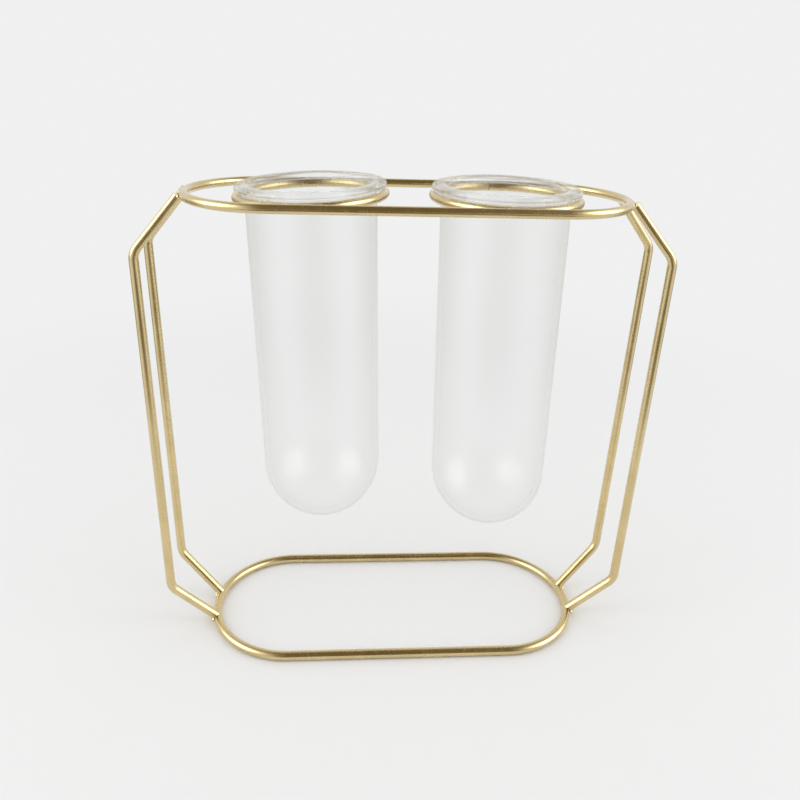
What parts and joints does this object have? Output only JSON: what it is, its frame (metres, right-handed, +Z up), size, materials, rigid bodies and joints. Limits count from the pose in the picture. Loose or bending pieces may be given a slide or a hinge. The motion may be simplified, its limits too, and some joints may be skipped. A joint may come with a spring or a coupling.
{
  "type": "test tube vase",
  "caption": "Clear glass test tubes with rolled lips, hung by the lip in rings on a stand of bent gold wire, for cut stems.",
  "frame": {"origin": "middle of the base loop, on the surface that the stand rests on", "axes": "+X to the right along the loops, +Y to the back, +Z up"},
  "size_m": [0.2296, 0.074, 0.2096],
  "materials": {
    "gold_wire": "satin champagne gold plate on steel wire",
    "clear_glass": "clear, fire polished, rolled lip"
  },
  "bodies": {
    "stand": {"top_loop": "gold_wire", "base_loop": "gold_wire", "left_ring": "gold_wire", "right_ring": "gold_wire", "front_left_leg": "gold_wire", "front_right_leg": "gold_wire", "back_left_leg": "gold_wire", "back_right_leg": "gold_wire", "leg_welds": "gold_wire", "ring_welds": "gold_wire"},
    "left_tube": {"left_tube": "clear_glass"},
    "right_tube": {"right_tube": "clear_glass"}
  },
  "joints": [
    {"name": "left_tube_lift", "type": "slide", "parent": "stand", "child": "left_tube", "axis": [-0.0489, 0, 0.9988], "range_m": [0, 0.17]},
    {"name": "right_tube_lift", "type": "slide", "parent": "stand", "child": "right_tube", "axis": [0, 0, 1], "range_m": [0, 0.17]}
  ]
}
